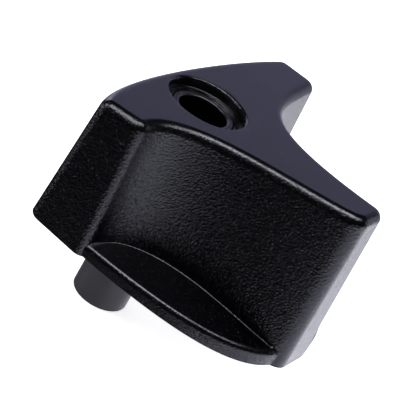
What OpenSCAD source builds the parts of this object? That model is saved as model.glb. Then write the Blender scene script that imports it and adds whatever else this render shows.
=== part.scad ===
// Three-armed wing nut: a moulded plastic grip on a steel bush with an M8 thread.
// Millimetres. +Z runs up the thread axis, z = 0 is the free end of the boss, +X along the long arm.

/* [Heights] */
// boss end to the flat top face, measured on the thread axis
total_h = 49.7; // [44:0.1:56]
// boss length below the underside, measured on the thread axis
boss_h = 18.9; // [12:0.1:24]
// fall of the underside towards the long arm, in degrees
underside_slope = 8.6; // [0:0.1:10]

/* [Arms, plan positions of the corners at the top face] */
// reach of the long arm along X
long_arm_x = 40.0; // [34:0.2:46]
// half of the long arm's width at its end
long_arm_half_w = 4.5; // [3.5:0.1:7]
// reach of the back arm along +Y
back_arm_y = 39.3; // [32:0.1:44]
// inner end corner of the back arm, X
back_arm_x = 1.6; // [0:0.1:4]
// width of the back arm at its end
back_arm_w = 9.5; // [8:0.1:12]
// reach of the short arm along -Y
short_arm_y = 24.8; // [20:0.2:30]
// outer end corner of the short arm, X
short_arm_x = -12.6; // [-16:0.1:-10]
// width of the short arm at its end
short_arm_w = 9.3; // [8:0.1:13]

/* [Moulding] */
// draft of the upright flanks, in degrees
flank_draft = 3.1; // [0.5:0.1:4.5]
// draft of the arms' end faces, in degrees
end_draft = 2.2; // [0.5:0.1:4]
// fillet along the top edge
top_fillet = 2.0; // [0.8:0.1:2.1]
// fillet along the bottom edge
foot_fillet = 0.4; // [0.3:0.1:1]
// rounding of the upright arm corners
corner_r = 2.4; // [2.4:0.1:3]
// softer rounding of the long arm's front corner
soft_corner_r = 4.8; // [3:0.1:6]
// thickness of the base flange at its free edge, beside the thread axis
flange_t = 3.0; // [2.5:0.1:5]
// growth of that thickness per millimetre of X
flange_taper = 0.022; // [0:0.001:0.04]
// rise of the flange's top from its free edge to the hub
flange_rise = 4.2; // [0:0.1:6]
// fillet along the flange's upper edge
flange_fillet = 1.1; // [0.5:0.1:1.4]
// set-back of the flange from the feet of the arms
flange_step = 0.2; // [0.1:0.1:1]

/* [Hole and bush] */
// diameter of the recess round the hole in the top face
recess_d = 16.4; // [15:0.1:20]
// depth of the recess to its ledge
recess_depth = 2.1; // [1.5:0.1:5]
// width of the broken edge round the recess
recess_edge = 0.5; // [0.3:0.1:0.8]
// outside diameter of the bush inside the grip
shank_d = 13.4; // [13:0.1:15]
// outside diameter of the boss
boss_d = 12; // [11:0.1:13]
// diameter of the clearance bore above the thread
clearance_d = 10.4; // [9:0.1:11]
// core diameter of the M8 thread
thread_core_d = 6.8; // [6.6:0.01:6.9]
// length of the threaded stretch
thread_l = 24; // [16:1:28]
// edge break on the boss and on the bush's top rim
bush_edge = 0.5; // [0.3:0.1:1]

/* [Hidden] */
$fn = 96;
slope = tan(underside_slope);
shank_z = boss_h + 4;
bush_top = total_h - recess_depth + 0.1;
flank_n = 22;
corner_n = 7;

// Rounding of the arm corner at the end of each flank.
END_R = [corner_r, corner_r, soft_corner_r];

// Free edges of the base flange, from one arm's foot to the next.
FLANGE_BACK = [[41.9, 2.5], [42.7, 20], [30, 38.6], [8, 38.6]];
FLANGE_FRONT = [[-5, -25.4], [17.1, -24.3], [36.5, -19.5], [39.6, -3.2]];

// The three flanks between the arms at a depth d below the top face: two hollow ones, and the
// gently bulged back of the hub between them. Each runs from one arm's end corner to the next.
function flanks(d) = let(
    w = d * tan(flank_draft),
    e = d * tan(end_draft),
    long_1 = [long_arm_x - 0.8 + e, -long_arm_half_w - 0.1 - w],
    long_2 = [long_arm_x + 1.1 + e, long_arm_half_w + 0.45 + w],
    back_1 = [back_arm_x + back_arm_w + w, back_arm_y - 0.6 + e],
    back_2 = [back_arm_x - w, back_arm_y + 0.4 + e],
    short_1 = [short_arm_x - w, -short_arm_y - 0.3 - e],
    short_2 = [short_arm_x + short_arm_w + w, -short_arm_y - e])
    [
        [long_2, [5 + w, 6.4 + w], [9.9 + w, 20.4], back_1],
        [back_2, [-5.0 - w, 26.6], [-17.0 - w, -13.8], short_1],
        [short_2, [-0.9 + w, -7.5 - w], [28.3, -9.8 - w], long_1],
    ];

function bez(c, t) = pow(1 - t, 3) * c[0] + 3 * pow(1 - t, 2) * t * c[1]
    + 3 * (1 - t) * t * t * c[2] + pow(t, 3) * c[3];

function unit(v) = v / norm(v);

// How far a corner at v, between a and b, is cut back when it is rounded by r.
function cut_back(a, v, b, r) = let(c = unit(a - v) * unit(b - v)) r * sqrt((1 + c) / (1 - c));

// Flank i with its two ends cut back.
function trimmed(f, i) = let(
    c = f[i],
    a = cut_back(f[(i + 2) % 3][3], c[0], c[1], corner_r) / (3 * norm(c[1] - c[0])),
    b = cut_back(c[2], c[3], f[(i + 1) % 3][0], END_R[i]) / (3 * norm(c[3] - c[2])))
    [for (k = [0:flank_n]) bez(c, a + (1 - a - b) * k / flank_n)];

// An arc from p to q, which are as far from the sharp corner v as each other.
function arc(p, v, q) = let(
    t = acos(unit(p - v) * unit(q - v)),
    k = 1 - 4 / 3 * tan(45 - t / 4) * tan(t / 2))
    [for (i = [1:corner_n - 1]) bez([p, v + k * (p - v), v + k * (q - v), q], i / corner_n)];

// One flank and the arm's end after it, with the arm's two corners.
function stretch(f, i) = let(
    n = f[(i + 1) % 3],
    line = trimmed(f, i), next = trimmed(f, (i + 1) % 3),
    v = f[i][3], w = n[0],
    p = v + cut_back(f[i][2], v, w, END_R[i]) * unit(w - v),
    q = w + cut_back(v, w, n[1], corner_r) * unit(v - w))
    concat(line, arc(line[flank_n], v, p), [p, q], arc(q, w, next[0]));

// The grip's whole outline at depth d.
function grip_line(d) = let(f = flanks(d)) [for (i = [0:2]) each stretch(f, i)];

FLANGE_LINE = concat(
    [for (i = [0:24]) bez(FLANGE_BACK, i / 24)],
    [[4, 34], [-9, 6], [-10, -21]],
    [for (i = [0:24]) bez(FLANGE_FRONT, i / 24)],
    [[37, 0]]);

function foot_z(p) = boss_h - slope * p[0];

// The step at point i that moves both of its edges outward by 1.
function outward(line, i) = let(
    n = len(line),
    d = unit(line[(i + 1) % n] - line[i]) + unit(line[i] - line[(i + n - 1) % n]))
    2 * [d[1], -d[0]] / (d * d);

// The line moved outward by o and lifted to z, or to z above the sloped underside.
function ring(line, o, z, from_foot) = [for (i = [0:len(line) - 1])
    let(p = line[i] + o * outward(line, i))
        [p[0], p[1], z + (from_foot ? foot_z(p) : 0)]];

// A ring lifted by the growth of the flange's thickness.
function taper(r) = [for (p = r) p + [0, 0, flange_taper * p[0]]];

// A closed solid through rings that are listed from the top down, closed by fans to two tips.
module loft(rings, top, bottom) {
    n = len(rings[0]);
    m = len(rings);
    polyhedron(
        points = concat([for (r = rings) each r], [top, bottom]),
        faces = concat(
            [for (i = [0:n - 1]) [(i + 1) % n, i, m * n]],
            [for (k = [0:m - 2], i = [0:n - 1]) let(j = (i + 1) % n) each [
                [k * n + i, k * n + j, (k + 1) * n + j], [k * n + i, (k + 1) * n + j, (k + 1) * n + i]]],
            [for (i = [0:n - 1]) let(k = (m - 1) * n) [k + i, k + (i + 1) % n, m * n + 1]]));
}

module grip_body() {
    foot_line = grip_line(total_h - boss_h);
    loft(concat(
        [for (a = [0:18:90]) let(d = top_fillet * (1 - cos(a)))
            ring(grip_line(d), top_fillet * (sin(a) - 1), total_h - d, false)],
        [for (a = [90:-30:0]) ring(foot_line, foot_fillet * (sin(a) - 1),
            foot_fillet * (1 - cos(a)), true)]),
        [0, 0, total_h], [0, 0, boss_h]);
}

module flange() {
    loft(concat(
        [for (a = [0:30:90]) taper(ring(FLANGE_LINE, flange_fillet * (sin(a) - 1),
            flange_t - flange_fillet * (1 - cos(a)), true))],
        [for (a = [90:-45:0]) ring(FLANGE_LINE, foot_fillet * (sin(a) - 1),
            flange_step + foot_fillet * (1 - cos(a)), true)]),
        [8, 0, foot_z([8, 0]) + flange_t + flange_rise], [8, 0, foot_z([8, 0]) + flange_step]);
}

module grip() {
    color([0.05, 0.05, 0.06])
    difference() {
        union() {
            grip_body();
            flange();
        }
        translate([0, 0, -1]) cylinder(d = boss_d, h = total_h);
        translate([0, 0, shank_z]) cylinder(d = shank_d, h = total_h);
        translate([0, 0, total_h - recess_depth]) cylinder(d = recess_d, h = total_h);
        translate([0, 0, total_h - recess_edge])
            cylinder(d1 = recess_d, d2 = recess_d + 4 * recess_edge, h = 2 * recess_edge);
    }
}

module bush() {
    r = boss_d / 2;
    s = shank_d / 2;
    c = clearance_d / 2;
    t = thread_core_d / 2;
    color([0.2, 0.2, 0.21])
    rotate_extrude()
        polygon([
            [t, 0], [r - bush_edge, 0], [r, bush_edge], [r, shank_z], [s, shank_z],
            [s, bush_top - 0.4], [s - 0.4, bush_top], [c + bush_edge, bush_top],
            [c, bush_top - bush_edge], [c, thread_l + c - t], [t, thread_l]]);
}

grip();
bush();
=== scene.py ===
"""A three-armed wing nut: a black moulded grip on a dark steel bush with an M8 thread."""
import math

import bmesh
import bpy
import numpy as np
from mathutils import Matrix, Vector


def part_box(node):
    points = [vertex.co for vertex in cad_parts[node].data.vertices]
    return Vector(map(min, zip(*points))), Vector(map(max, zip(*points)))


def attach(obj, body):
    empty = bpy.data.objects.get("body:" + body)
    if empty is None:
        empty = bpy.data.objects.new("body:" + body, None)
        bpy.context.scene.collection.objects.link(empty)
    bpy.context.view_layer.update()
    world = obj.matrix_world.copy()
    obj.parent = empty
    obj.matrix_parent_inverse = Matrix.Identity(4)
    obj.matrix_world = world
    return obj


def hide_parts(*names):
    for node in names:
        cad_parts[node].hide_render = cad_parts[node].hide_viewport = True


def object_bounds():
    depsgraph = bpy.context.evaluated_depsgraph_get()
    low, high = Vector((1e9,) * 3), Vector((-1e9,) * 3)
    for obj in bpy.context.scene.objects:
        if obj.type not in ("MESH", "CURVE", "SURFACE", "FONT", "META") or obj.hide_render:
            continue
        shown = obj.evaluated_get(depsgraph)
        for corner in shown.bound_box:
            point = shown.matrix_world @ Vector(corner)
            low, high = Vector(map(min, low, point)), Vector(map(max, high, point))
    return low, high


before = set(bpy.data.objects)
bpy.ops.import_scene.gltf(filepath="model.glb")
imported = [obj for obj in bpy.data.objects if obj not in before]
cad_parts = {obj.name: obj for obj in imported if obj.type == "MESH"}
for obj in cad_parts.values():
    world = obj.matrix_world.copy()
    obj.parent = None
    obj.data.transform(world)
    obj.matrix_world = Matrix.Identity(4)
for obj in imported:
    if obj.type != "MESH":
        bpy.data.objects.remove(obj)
cad_low, cad_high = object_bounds()

MM = 0.001

# The design's own sizes in millimetres, as the CAD source has them.
TOTAL_H = (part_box("grip")[1] / MM).z
BUSH_TOP = (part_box("bush")[1] / MM).z
BOSS_H = 18.9
SLOPE = math.tan(math.radians(8.6))
LONG_X, LONG_HALF = 40.0, 4.5
BACK_Y, BACK_X, BACK_W = 39.3, 1.6, 9.5
SHORT_Y, SHORT_X, SHORT_W = 24.8, -12.6, 9.3
FLANK_DRAFT, END_DRAFT = math.tan(math.radians(3.1)), math.tan(math.radians(2.2))
TOP_FILLET, FOOT_FILLET = 2.0, 0.4
CORNER_R, SOFT_CORNER_R = 2.4, 4.8
FLANGE_T, FLANGE_TAPER, FLANGE_RISE = 3.0, 0.022, 4.2
FLANGE_FILLET, FLANGE_STEP, FLANGE_TIP_X = 1.1, 0.2, 8.0
RECESS_R, RECESS_DEPTH = 8.2, 2.1
SHANK_R, BOSS_R, BORE_R = 6.7, 6.0, 5.2
SHANK_Z = BOSS_H + 4
THREAD_R, THREAD_ROOT_R, THREAD_L, PITCH = 3.4, 4.0, 24.0, 1.25
BUSH_EDGE = 0.5
END_R = [CORNER_R, CORNER_R, SOFT_CORNER_R]

# Finer shapes, which the solids leave out, in millimetres.
NECK_FILLET = 0.28                      # where the flange meets the flanks
RECESS_EDGE, RECESS_EDGE_H = 0.6, 1.4   # rounded edge of the recess, its width and height
RECESS_WALL_FOOT = 1.45                 # depth at which the recess wall starts its foot fillet
RECESS_FOOT_R = 0.2
LEDGE_GROOVE = ((7.55, 0), (7.45, 0.12), (7.25, 0.12), (7.15, 0))   # radius, depth
JOINT_W, JOINT_D = 0.22, 0.3            # open joint between the ledge and the bush
RIM_EDGE, BORE_EDGE = 0.35, 0.45        # rounding of the bush's top rim, outside and inside
RIM_GROOVES, RIM_GROOVE_W, RIM_GROOVE_D = (6.15, 5.98), 0.10, 0.06
SINK_W, SINK_H, SINK_SLOPE = 0.35, 0.7, 1.35   # countersink at the thread's mouth

# Plan curves of the flange's free edges; the back one starts inside the long arm's end.
FLANGE_BACK = np.array([[41.8, 4.0], [42.7, 20], [30, 38.6], [8, 38.6]])
FLANGE_FRONT = np.array([[-5, -25.4], [17.1, -24.3], [36.5, -19.5], [39.6, -3.2]])


# ---------------------------------------------------------------- outlines
def unit(v):
    return v / np.linalg.norm(v)


def bezier(c, t):
    """Points of the cubic curve with control points c."""
    t = np.asarray(t, float)[:, None]
    return ((1 - t) ** 3 * c[0] + 3 * (1 - t) ** 2 * t * c[1]
            + 3 * (1 - t) * t ** 2 * c[2] + t ** 3 * c[3])


def flanks(d):
    """The three flanks between the arms at depth d below the top face, as in the CAD source."""
    w, e = d * FLANK_DRAFT, d * END_DRAFT
    long_1 = [LONG_X - 0.8 + e, -LONG_HALF - 0.1 - w]
    long_2 = [LONG_X + 1.1 + e, LONG_HALF + 0.45 + w]
    back_1 = [BACK_X + BACK_W + w, BACK_Y - 0.6 + e]
    back_2 = [BACK_X - w, BACK_Y + 0.4 + e]
    short_1 = [SHORT_X - w, -SHORT_Y - 0.3 - e]
    short_2 = [SHORT_X + SHORT_W + w, -SHORT_Y - e]
    return [np.array(c, float) for c in (
        [long_2, [5 + w, 6.4 + w], [9.9 + w, 20.4], back_1],
        [back_2, [-5.0 - w, 26.6], [-17.0 - w, -13.8], short_1],
        [short_2, [-0.9 + w, -7.5 - w], [28.3, -9.8 - w], long_1])]


def cut_back(a, v, b, r=CORNER_R):
    """How far a corner at v, between a and b, is cut back when it is rounded by r."""
    c = unit(a - v) @ unit(b - v)
    return r * math.sqrt((1 + c) / (1 - c))


def arc(p, v, q, n):
    """Points strictly between p and q on the arc that rounds the corner v."""
    half = math.acos(unit(p - v) @ unit(q - v)) / 2
    turn = math.pi - 2 * half
    k = 1 - 4 / 3 * math.tan(turn / 4) * math.tan(half)
    c = np.array([p, v + k * (p - v), v + k * (q - v), q])
    return bezier(c, np.arange(1, n) / n)


def grip_line(d, flank_n=72, corner_n=10, end_n=6):
    """The grip's outline at depth d, counter-clockwise from above."""
    f = flanks(d)

    def trimmed(i):
        """Flank i with its two ends cut back."""
        p, c, q = f[i - 1], f[i], f[(i + 1) % 3]
        a = cut_back(p[3], c[0], c[1]) / (3 * np.linalg.norm(c[1] - c[0]))
        b = cut_back(c[2], c[3], q[0], END_R[i]) / (3 * np.linalg.norm(c[3] - c[2]))
        return bezier(c, a + (1 - a - b) * np.arange(flank_n + 1) / flank_n)

    out = []
    for i in range(3):
        c, n = f[i], f[(i + 1) % 3]
        line, following = trimmed(i), trimmed((i + 1) % 3)
        v, w = c[3], n[0]
        p = v + cut_back(c[2], v, w, END_R[i]) * unit(w - v)
        q = w + cut_back(v, w, n[1]) * unit(v - w)
        out += [line, arc(line[-1], v, p, corner_n),
                p + (q - p) * np.arange(end_n + 1)[:, None] / end_n,
                arc(q, w, following[0], corner_n)]
    return np.vstack(out)


def outward(line):
    """The step at each point that moves both of its edges outward by 1."""
    ahead = np.roll(line, -1, 0) - line
    ahead /= np.linalg.norm(ahead, axis=1)[:, None]
    d = ahead + np.roll(ahead, 1, 0)
    return 2 * np.column_stack([d[:, 1], -d[:, 0]]) / (d ** 2).sum(1)[:, None]


def foot_z(p):
    """Height of the sloped underside below each plan point."""
    return BOSS_H - SLOPE * p[:, 0]


def ring(line, offset, z):
    """A line moved outward by offset and lifted to z, a height or a function of the points."""
    p = line + offset * outward(line)
    return np.column_stack([p, z(p) if callable(z) else np.full(len(p), z)])


def circle(angles, r):
    return r * np.column_stack([np.cos(angles), np.sin(angles)])


# ---------------------------------------------------------------- meshes
def grid_faces(rows, columns, closed_rows=False):
    """Quads between rings of equal length, each ring running counter-clockwise from above."""
    faces = []
    for k in range(rows if closed_rows else rows - 1):
        a, b = k * columns, (k + 1) % rows * columns
        for i in range(columns):
            j = (i + 1) % columns
            faces.append((a + i, a + j, b + j, b + i))
    return faces


def new_object(name, points, faces):
    """A mesh object from points in millimetres, with its normals turned outward."""
    mesh = bpy.data.meshes.new(name)
    mesh.from_pydata([tuple(p) for p in np.asarray(points) * MM], [], faces)
    bm = bmesh.new()
    bm.from_mesh(mesh)
    bmesh.ops.recalc_face_normals(bm, faces=bm.faces)
    if bm.calc_volume(signed=True) < 0:
        bmesh.ops.reverse_faces(bm, faces=bm.faces)
    bm.to_mesh(mesh)
    bm.free()
    obj = bpy.data.objects.new(name, mesh)
    bpy.context.scene.collection.objects.link(obj)
    return obj


def body_rings():
    """Closed loop of rings over the grip: underside, flanks, top, recess and the bush's seat."""
    top_line, foot_line = grip_line(TOP_FILLET), grip_line(TOTAL_H - BOSS_H)
    rings = []
    # foot fillet, from the underside up
    for a in np.radians(np.linspace(0, 90, 6)):
        rings.append(ring(foot_line, FOOT_FILLET * (math.sin(a) - 1),
                          lambda p, a=a: foot_z(p) + FOOT_FILLET * (1 - math.cos(a))))
    foot = rings[-1]
    top = ring(top_line, 0, TOTAL_H - TOP_FILLET)
    rings += [foot + (top - foot) * s for s in np.linspace(0, 1, 15)[1:-1]]
    for a in np.radians(np.linspace(90, 0, 12)):
        d = TOP_FILLET * (1 - math.cos(a))
        rings.append(ring(grip_line(d), TOP_FILLET * (math.sin(a) - 1), TOTAL_H - d))
    rim = rings[-1]
    angles = np.arctan2(rim[:, 1], rim[:, 0])

    def round_ring(r, z):
        return np.column_stack([circle(angles, r), z if np.ndim(z) else np.full(len(angles), z)])

    edge = round_ring(RECESS_R + RECESS_EDGE, TOTAL_H)
    for s in (0.04, 0.2, 0.4, 0.6, 0.8, 0.96):
        rings.append(rim + (edge - rim) * s)
    for a in np.radians(np.linspace(90, 0, 9)):
        rings.append(round_ring(RECESS_R + RECESS_EDGE * (1 - math.cos(a)),
                                TOTAL_H - RECESS_EDGE_H * (1 - math.sin(a))))
    ledge = TOTAL_H - RECESS_DEPTH
    rings.append(round_ring(RECESS_R, TOTAL_H - RECESS_WALL_FOOT))
    for a in np.radians(np.linspace(0, 90, 5)):
        rings.append(round_ring(RECESS_R - RECESS_FOOT_R * (1 - math.cos(a)),
                                ledge + RECESS_FOOT_R * (1 - math.sin(a))))
    for r, drop in LEDGE_GROOVE + ((SHANK_R + JOINT_W, 0), (SHANK_R, JOINT_D)):
        rings.append(round_ring(r, ledge - drop))
    rings.append(round_ring(SHANK_R, SHANK_Z))
    rings.append(round_ring(BOSS_R, SHANK_Z))
    seat = circle(angles, BOSS_R)
    rings.append(np.column_stack([seat, foot_z(seat)]))
    under = rings[0]
    rings += [rings[-1] + (under - rings[-1]) * s for s in (0.05, 0.35, 0.65, 0.95)]
    return rings


def signed_gap(p, line):
    """Plan distance from each point to a closed line, negative inside it."""
    a, b = line[None], np.roll(line, -1, 0)[None]
    q = p[:, None, :2]
    along = np.clip(((q - a) * (b - a)).sum(2) / ((b - a) ** 2).sum(2), 0, 1)
    distance = np.sqrt(((q - a - along[..., None] * (b - a)) ** 2).sum(2)).min(1)
    straddles = (a[..., 1] > q[..., 1]) != (b[..., 1] > q[..., 1])
    rise = np.where(straddles, b[..., 1] - a[..., 1], 1)
    cross = a[..., 0] + (q[..., 1] - a[..., 1]) / rise * (b[..., 0] - a[..., 0])
    inside = (straddles & (cross > q[..., 0])).sum(1) % 2 == 1
    return np.where(inside, -distance, distance)


# Heights between which the flange's top meets the flanks.
LOW_Z, HIGH_Z = 13.0, 27.0
LOW_LINE, HIGH_LINE = grip_line(TOTAL_H - LOW_Z), grip_line(TOTAL_H - HIGH_Z)


def flank_gap(p):
    """How far each point is outside the drafted flanks at its own height."""
    share = (p[:, 2] - LOW_Z) / (HIGH_Z - LOW_Z)
    return signed_gap(p, LOW_LINE) * (1 - share) + signed_gap(p, HIGH_LINE) * share


def flange_rings():
    """Rings over the base flange, from its underside up to its tip inside the hub."""
    t = np.linspace(0, 1, 97)
    line = np.vstack([bezier(FLANGE_BACK, t), [[4, 34], [-9, 6], [-10, -21]],
                      bezier(FLANGE_FRONT, t), [[37, 0]]])
    rings = []
    for a in np.radians(np.linspace(0, 90, 5)):
        rings.append(ring(line, FOOT_FILLET * (math.sin(a) - 1),
                          lambda p, a=a: foot_z(p) + FLANGE_STEP
                          + FOOT_FILLET * (1 - math.cos(a))))
    for a in np.radians(np.linspace(90, 0, 10)):
        rings.append(ring(line, FLANGE_FILLET * (math.sin(a) - 1),
                          lambda p, a=a: foot_z(p) + FLANGE_T + FLANGE_TAPER * p[:, 0]
                          - FLANGE_FILLET * (1 - math.cos(a))))
    tip = np.array([FLANGE_TIP_X, 0, BOSS_H - SLOPE * FLANGE_TIP_X + FLANGE_T + FLANGE_RISE])
    rim = rings[-1]
    # rows towards the tip: over the open top, up the neck fillet to the flank, then inside the hub
    last_row, row_lift = 0.92, 0.002
    steps = np.linspace(0, 0.9, 91)
    gaps = np.array([flank_gap(rim + (tip - rim) * s) for s in steps])
    enter = np.array([steps[np.argmax(g < 0)] if (g < 0).any() else steps[-1] for g in gaps.T])
    fillet = NECK_FILLET * np.array([1, 0.8, 0.6, 0.42, 0.27, 0.15, 0.06, 0.0])
    rows = [enter * 0, enter * 0.3, enter * 0.6]
    for goal in fillet:
        rows.append(np.array([np.interp(-goal, -g[:k + 1], steps[:k + 1]) for g, k in
                              zip(gaps.T, np.rint(enter / steps[1]).astype(int))]))
    in_sight = len(rows)
    rows += [enter + (last_row - enter) * u for u in (0.15, 0.5, 1.0)]
    rows = np.maximum.accumulate(rows)
    lifted = []
    for k, s in enumerate(rows):
        p = rim + (tip - rim) * s[:, None]
        near = NECK_FILLET
        if k < in_sight:
            near = np.clip(NECK_FILLET - flank_gap(p), 0, NECK_FILLET)
        p[:, 2] += NECK_FILLET - np.sqrt(NECK_FILLET ** 2 - near ** 2) + row_lift * k
        lifted.append(p)
    return rings[:-1] + lifted


def boolean(target, tool, operation):
    """Applies one exact boolean and removes the tool."""
    mod = target.modifiers.new("cut", "BOOLEAN")
    mod.operation, mod.solver, mod.object = operation, "EXACT", tool
    depsgraph = bpy.context.evaluated_depsgraph_get()
    mesh = bpy.data.meshes.new_from_object(target.evaluated_get(depsgraph))
    target.modifiers.clear()
    target.data = mesh
    bpy.data.objects.remove(tool)


def shade(obj, degrees):
    """Smooth shading, with edges sharper than the angle kept sharp."""
    obj.data.polygons.foreach_set("use_smooth", [True] * len(obj.data.polygons))
    obj.data.set_sharp_from_angle(angle=math.radians(degrees))
    mod = obj.modifiers.new("normals", "WEIGHTED_NORMAL")
    mod.keep_sharp = True
    mod.weight = 60


def build_grip():
    """The moulding: the body joined with the base flange."""
    rings = body_rings()
    columns = len(rings[0])
    grip = new_object("grip_body", np.vstack(rings), grid_faces(len(rings), columns, True))
    rings = flange_rings()
    columns = len(rings[0])
    faces = grid_faces(len(rings), columns)
    last = (len(rings) - 1) * columns
    faces += [tuple(range(columns)), tuple(range(last, last + columns))]
    flange = new_object("flange", np.vstack(rings), faces)
    boolean(grip, flange, "UNION")
    shade(grip, 38)
    return grip


def thread_radius(angle, z):
    """Inner radius of the thread: crests at the core radius, roots at the nominal one."""
    crest, slant, run_out = 0.14, 0.66, 1.2   # the first two as shares of half the pitch
    phase = (z / PITCH - angle / (2 * math.pi)) % 1.0
    flank = np.clip((np.abs(2 * phase - 1) - crest) / slant, 0, 1)
    fade = np.clip((THREAD_L - z) / (run_out * PITCH), 0, 1)
    return THREAD_R + (THREAD_ROOT_R - THREAD_R) * flank * fade


def build_bush():
    """The sleeve, as one closed loop of rings: end face, boss, shank, rim, bore and thread."""
    columns = 96
    angles = np.linspace(0, 2 * math.pi, columns, endpoint=False)
    rings = []

    def add(r, z):
        rings.append(np.column_stack([circle(angles, r) if np.ndim(r) == 0
                                      else r[:, None] * circle(angles, 1.0), np.full(columns, z)]))

    def quarter(r, z, radius, start, stop, n=6):
        for a in np.radians(np.linspace(start, stop, n)):
            add(r + radius * math.cos(a), z + radius * math.sin(a))

    # end face and boss
    add(THREAD_ROOT_R + SINK_W, 0)
    add(4.8, 0)
    quarter(BOSS_R - BUSH_EDGE, BUSH_EDGE, BUSH_EDGE, -90, 0)
    for z in (1.5, 6, 12, SHANK_Z - 0.05):
        add(BOSS_R, z)
    add(SHANK_R, SHANK_Z)
    for z in (SHANK_Z + 6, BUSH_TOP - 1.2):
        add(SHANK_R, z)
    # rim with its turned grooves
    quarter(SHANK_R - RIM_EDGE, BUSH_TOP - RIM_EDGE, RIM_EDGE, 0, 90)
    for r in RIM_GROOVES:
        add(r, BUSH_TOP)
        add(r - RIM_GROOVE_W / 2, BUSH_TOP - RIM_GROOVE_D)
        add(r - RIM_GROOVE_W, BUSH_TOP)
    quarter(BORE_R + BORE_EDGE, BUSH_TOP - BORE_EDGE, BORE_EDGE, 90, 180)
    for z in (40, 34, 29, THREAD_L + BORE_R - THREAD_R):
        add(BORE_R, z)
    # thread, from its inner end down to the countersink
    for z in np.arange(THREAD_L, 0.79, -PITCH / 12):
        add(thread_radius(angles, z), z)
    for z in np.linspace(SINK_H, 0.05, 6):
        sink = THREAD_ROOT_R + SINK_W - z * SINK_SLOPE
        add(np.maximum(thread_radius(angles, z), sink), z)
    return new_object("bush_body", np.vstack(rings), grid_faces(len(rings), columns, True))


# ---------------------------------------------------------------- materials
def nodes_for(name):
    """A new material with its node tree and its shader."""
    mat = bpy.data.materials.new(name)
    mat.use_nodes = True
    tree = mat.node_tree
    shader = tree.nodes["Principled BSDF"]
    return mat, tree, shader


def node(tree, kind, **settings):
    """A new node, with each setting put on the socket or the property of that name."""
    n = tree.nodes.new(kind)
    for key, value in settings.items():
        if key in n.inputs:
            n.inputs[key].default_value = value
        else:
            setattr(n, key, value)
    return n


def noise(tree, vector, scale, detail=2.0, roughness=0.5):
    """Noise with the given number of waves per metre."""
    n = node(tree, "ShaderNodeTexNoise", Scale=scale, Detail=detail, Roughness=roughness)
    tree.links.new(vector, n.inputs["Vector"])
    return n.outputs["Fac"]


def spread(tree, value, low, high, start=0.3, stop=0.7):
    """Maps start..stop, by default a texture's middle range, onto low..high."""
    n = node(tree, "ShaderNodeMapRange")
    for key, number in (("From Min", start), ("From Max", stop), ("To Min", low), ("To Max", high)):
        n.inputs[key].default_value = number
    tree.links.new(value, n.inputs["Value"])
    return n.outputs["Result"]


def product(tree, a, b):
    scaled = node(tree, "ShaderNodeMath", operation="MULTIPLY")
    tree.links.new(a, scaled.inputs[0])
    tree.links.new(b, scaled.inputs[1])
    return scaled.outputs[0]


def swing(tree, value, factor):
    """A texture's swing about its middle, scaled by a second value."""
    centred = node(tree, "ShaderNodeMath", operation="SUBTRACT")
    centred.inputs[1].default_value = 0.5
    tree.links.new(value, centred.inputs[0])
    return product(tree, centred.outputs[0], factor)


def split_axes(tree, vector):
    """The x, y and z outputs of a vector."""
    n = node(tree, "ShaderNodeSeparateXYZ")
    tree.links.new(vector, n.inputs[0])
    return n.outputs


def blend_colours(tree, factor, low, high):
    """Mixes from low to high, each a colour or another node's output."""
    n = node(tree, "ShaderNodeMix", data_type="RGBA")
    tree.links.new(factor, n.inputs[0])
    for place, value in ((6, low), (7, high)):
        if isinstance(value, tuple):
            n.inputs[place].default_value = value + (1,)
        else:
            tree.links.new(value, n.inputs[place])
    return n.outputs[2]


def bump(tree, height, distance, strength=1.0, below=None):
    """A bump of the given height in metres, on top of the normal below."""
    n = node(tree, "ShaderNodeBump", Distance=distance, Strength=strength)
    tree.links.new(height, n.inputs["Height"])
    if below is not None:
        tree.links.new(below, n.inputs["Normal"])
    return n.outputs["Normal"]


def plastic():
    """Black, with a spark-eroded grain that fades out on the faces that look up."""
    mat, tree, shader = nodes_for("moulded black plastic")
    where = node(tree, "ShaderNodeTexCoord").outputs["Object"]
    up = split_axes(tree, node(tree, "ShaderNodeNewGeometry").outputs["Normal"])[2]
    height = split_axes(tree, where)[2]
    shader.inputs["IOR"].default_value = 1.5
    # the top of the base flange is duller than the rest
    dull = product(tree, spread(tree, up, 0.0, 1.0, 0.93, 0.96),
                   spread(tree, height, 1.0, 0.0, 0.031, 0.034))
    tree.links.new(spread(tree, dull, 0.5, 0.10, 0.0, 1.0), shader.inputs["Specular IOR Level"])
    # slow waviness of the moulding, then two sizes of grain
    level = spread(tree, up, 1.0, 0.12, 0.45, 0.92)
    waves, coarse, fine = (noise(tree, where, *sort) for sort in (
        (60.0, 2.0), (2400.0, 1.0), (3300.0, 1.0)))
    normal = bump(tree, waves, 0.0003, 0.10)
    normal = bump(tree, swing(tree, coarse, level), 0.00013, 1.0, normal)
    normal = bump(tree, swing(tree, fine, level), 0.00005, 1.0, normal)
    tree.links.new(normal, shader.inputs["Normal"])
    patches = noise(tree, where, 90.0, 3.0, 0.6)
    tree.links.new(spread(tree, patches, 0.18, 0.24), shader.inputs["Roughness"])
    black = blend_colours(tree, patches, (0.0002, 0.0002, 0.0004), (0.0005, 0.0005, 0.0008))
    # painted glints: sparse pale specks in the base colour, standing in for the grain's sharpest
    # points catching the light
    painted_glints = spread(tree, noise(tree, where, 5200.0, 0.0), 0.0, 1.0, 0.76, 0.84)
    tree.links.new(blend_colours(tree, painted_glints, black, (0.034, 0.034, 0.040)),
                   shader.inputs["Base Color"])
    return mat


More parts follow.
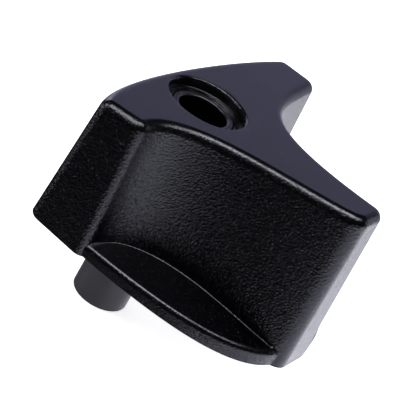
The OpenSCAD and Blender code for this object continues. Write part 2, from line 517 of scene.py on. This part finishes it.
def steel():
    """Blackened steel with fine turning lines; the rim is darker and smoother, and the bore and
    thread are painted near-black with little gloss as painted shade down the hole.
    """
    mat, tree, shader = nodes_for("dark turned steel")
    where = node(tree, "ShaderNodeTexCoord").outputs["Object"]
    x, y, z = split_axes(tree, where)
    flat = node(tree, "ShaderNodeCombineXYZ")
    tree.links.new(x, flat.inputs[0])
    tree.links.new(y, flat.inputs[1])
    length = node(tree, "ShaderNodeVectorMath", operation="LENGTH")
    tree.links.new(flat.outputs[0], length.inputs[0])
    radius = length.outputs["Value"]
    turned = node(tree, "ShaderNodeCombineXYZ")
    tree.links.new(radius, turned.inputs[0])
    tree.links.new(z, turned.inputs[2])
    lines = noise(tree, turned.outputs[0], 5200.0, 2.0, 0.6)
    tree.links.new(bump(tree, lines, 0.00001, 0.35), shader.inputs["Normal"])
    cloud = noise(tree, where, 160.0, 3.0, 0.6)
    on_rim = spread(tree, z, 0.0, 1.0, 0.030, 0.031)
    # painted shade: within the bore's radius the colour turns near-black and the gloss drops,
    # standing in for the shade down the hole
    clear_of_painted_bore_shade = spread(tree, radius, 0.0, 1.0, (BORE_R + 0.005) * MM, (BORE_R + 0.06) * MM)
    smoother = node(tree, "ShaderNodeMath", operation="MULTIPLY_ADD")
    smoother.inputs[1].default_value = -0.25
    tree.links.new(on_rim, smoother.inputs[0])
    tree.links.new(spread(tree, cloud, 0.44, 0.56), smoother.inputs[2])
    tree.links.new(smoother.outputs[0], shader.inputs["Roughness"])
    colour = blend_colours(tree, cloud, (0.020, 0.020, 0.023), (0.027, 0.026, 0.029))
    colour = blend_colours(tree, on_rim, colour, (0.006, 0.006, 0.007))
    colour = blend_colours(tree, clear_of_painted_bore_shade, (0.0006, 0.0006, 0.0006), colour)
    tree.links.new(colour, shader.inputs["Base Color"])
    tree.links.new(spread(tree, clear_of_painted_bore_shade, 0.05, 0.5, 0.0, 1.0), shader.inputs["Specular IOR Level"])
    return mat


def dress(obj, mat, node_name):
    """Gives a piece its material and tells the frame which CAD node it replaces."""
    obj.data.materials.clear()
    obj.data.materials.append(mat)
    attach(obj, "root")
    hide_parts(node_name)


grip = build_grip()
dress(grip, plastic(), "grip")
bush = build_bush()
shade(bush, 30)
dress(bush, steel(), "bush")


# ---------------------------------------------------------------- studio
def build_floor():
    """A pale floor that glows a little and is left out of reflections, for a white ground."""
    size = 3.0
    mesh = bpy.data.meshes.new("floor")
    mesh.from_pydata([(-size, -size, 0), (size, -size, 0), (size, size, 0), (-size, size, 0)],
                     [], [(0, 1, 2, 3)])
    obj = bpy.data.objects.new("floor", mesh)
    bpy.context.scene.collection.objects.link(obj)
    mat, tree, shader = nodes_for("pale floor")
    shader.inputs["Base Color"].default_value = (0.85, 0.85, 0.85, 1)
    shader.inputs["Emission Color"].default_value = (1, 1, 1, 1)
    shader.inputs["Emission Strength"].default_value = 0.75
    shader.inputs["Roughness"].default_value = 0.9
    shader.inputs["Specular IOR Level"].default_value = 0.0
    mesh.materials.append(mat)
    obj.visible_glossy = False
    obj.visible_shadow = False


def soft_light(name, azimuth, elevation, distance, width, height, radiance, colour):
    """A soft box that faces the object. Azimuth 0 is along +Y and 90 along +X."""
    centre = (cad_low + cad_high) / 2
    a, e = math.radians(azimuth), math.radians(elevation)
    away = Vector((math.sin(a) * math.cos(e), math.cos(a) * math.cos(e), math.sin(e)))
    light = bpy.data.lights.new(name, "AREA")
    light.shape = "RECTANGLE"
    light.size, light.size_y = width, height
    light.energy = radiance * math.pi * width * height
    light.color = colour
    obj = bpy.data.objects.new(name, light)
    obj.location = centre + away * distance
    obj.rotation_mode = "QUATERNION"
    obj.rotation_quaternion = away.to_track_quat("Z", "Y")
    obj.visible_camera = False
    bpy.context.scene.collection.objects.link(obj)


def build_world():
    """White for the eye and for soft light, and dim in reflections, like a darkened room."""
    world = bpy.data.worlds.new("studio")
    bpy.context.scene.world = world
    world.use_nodes = True
    tree = world.node_tree
    pale = tree.nodes["Background"]
    pale.inputs["Color"].default_value = (1, 1, 1, 1)
    pale.inputs["Strength"].default_value = 1.0
    dim = tree.nodes.new("ShaderNodeBackground")
    dim.inputs["Color"].default_value = (0.85, 0.85, 1, 1)
    dim.inputs["Strength"].default_value = 0.02
    path = tree.nodes.new("ShaderNodeLightPath")
    mix = tree.nodes.new("ShaderNodeMixShader")
    tree.links.new(path.outputs["Is Glossy Ray"], mix.inputs[0])
    tree.links.new(pale.outputs[0], mix.inputs[1])
    tree.links.new(dim.outputs[0], mix.inputs[2])
    tree.links.new(mix.outputs[0], tree.nodes["World Output"].inputs["Surface"])


def build_camera():
    """A long lens at the viewing angle of the photograph."""
    data = bpy.data.cameras.new("camera")
    data.sensor_width, data.lens = 36.0, 188.0
    data.clip_start, data.clip_end = 0.02, 20
    camera = bpy.data.objects.new("camera", data)
    right = Vector((0.81273, 0.36825, 0.45151))
    up = Vector((-0.56384, 0.30188, 0.76874))
    back = right.cross(up)
    place = Matrix((right, up, back)).transposed().to_4x4()
    place.translation = Vector((0.07398, -0.37979, 0.22621))
    camera.matrix_world = place
    bpy.context.scene.collection.objects.link(camera)
    bpy.context.scene.camera = camera


# name, azimuth, elevation, distance, width, height, radiance, colour
LIGHTS = (
    ("overhead", 110, 77, 0.7, 0.34, 0.22, 9.0, (0.88, 0.88, 1)),
    ("overhead left", 208, 66, 0.7, 0.24, 0.46, 7.0, (0.88, 0.88, 1)),
    ("high right", 78, 58, 0.7, 0.22, 0.14, 6.0, (0.88, 0.88, 1)),
    ("left high", 242, 34, 0.7, 0.26, 0.24, 6.5, (0.88, 0.88, 1)),
    ("left back", -45, 15, 0.7, 0.30, 0.30, 1.3, (0.88, 0.88, 1)),
    ("left low", 254, -4, 0.7, 0.60, 0.18, 3.2, (0.88, 0.88, 1)),
    ("back sky", -10, 20, 0.9, 1.1, 0.44, 0.58, (0.63, 0.63, 1)),
    ("right sky", 38, 8, 0.8, 0.50, 0.42, 0.9, (0.75, 0.75, 1)),
    ("back horizon", -5, -4, 0.9, 0.9, 0.16, 1.1, (0.85, 0.85, 1)),
    ("right front", 101, -25, 0.5, 0.38, 0.28, 1.7, (0.80, 0.80, 1)),
    ("right side", 65, -25, 0.5, 0.26, 0.26, 1.5, (0.85, 0.85, 1)),
    ("right back", 36, -25, 0.5, 0.28, 0.26, 2.0, (0.90, 0.90, 1)),
    ("far back", -8, -25, 0.5, 0.52, 0.26, 1.25, (0.88, 0.88, 1)),
    ("low front", 135, -34, 0.5, 0.22, 0.22, 1.7, (0.85, 0.85, 1)),
    ("low left", 190, -43, 0.5, 0.40, 0.20, 0.34, (0.85, 0.85, 1)),
)

build_floor()
build_world()
build_camera()
for light in LIGHTS:
    soft_light(*light)
bpy.context.scene.view_settings.view_transform = "Standard"
